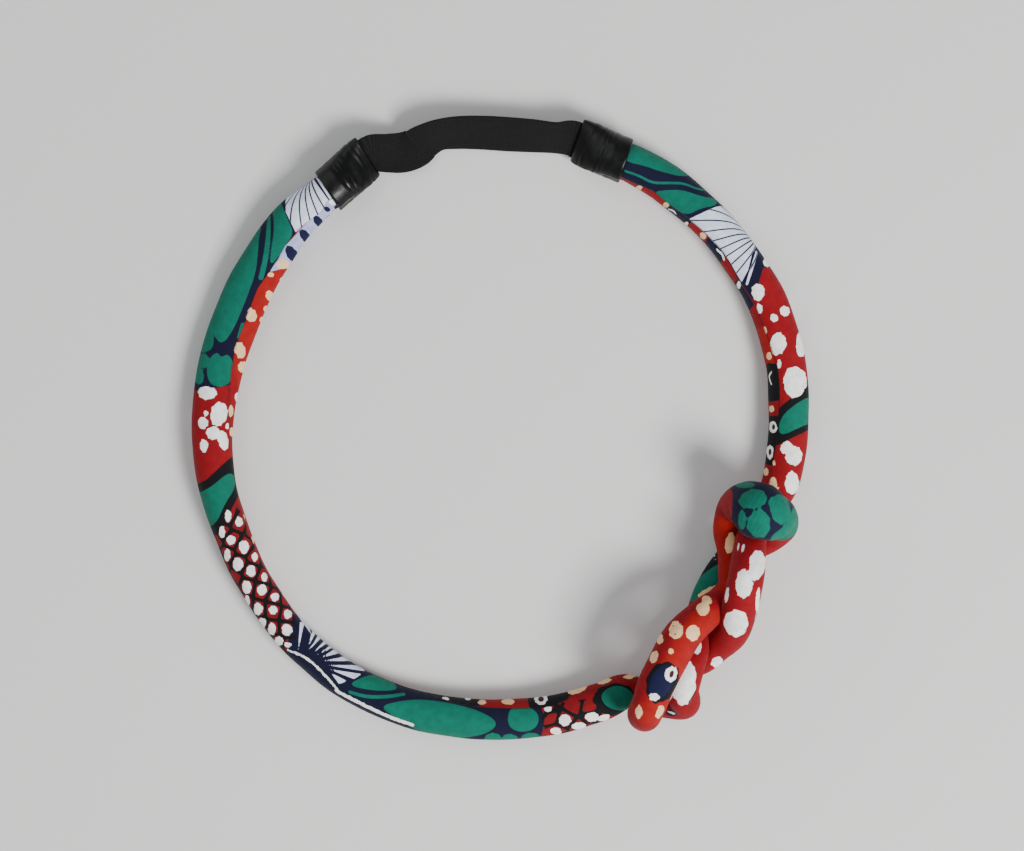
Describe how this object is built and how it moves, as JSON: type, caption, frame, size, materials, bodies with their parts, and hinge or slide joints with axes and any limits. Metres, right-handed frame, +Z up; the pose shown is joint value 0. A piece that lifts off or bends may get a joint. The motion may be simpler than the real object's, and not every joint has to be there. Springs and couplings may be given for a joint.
{
  "type": "knot headband",
  "caption": "Padded fabric tube headband tied in an overhand knot, with leather end caps joined by a flat elastic band at the nape.",
  "frame": {"origin": "under the middle of the whole headband's box, on the surface that it lies on", "axes": "+Z up through the ring, the way a head passes through it; +Y towards the elastic band; +X right, the knot in the +X -Y quarter"},
  "size_m": [0.1906, 0.1924, 0.0315],
  "materials": {
    "printed_cotton": "matte",
    "cap_leather": "satin",
    "elastic_webbing": "matte"
  },
  "bodies": {
    "root": {"padded_tube": "printed_cotton", "left_end_cap": "cap_leather", "right_end_cap": "cap_leather", "elastic_band": "elastic_webbing"}
  },
  "joints": []
}
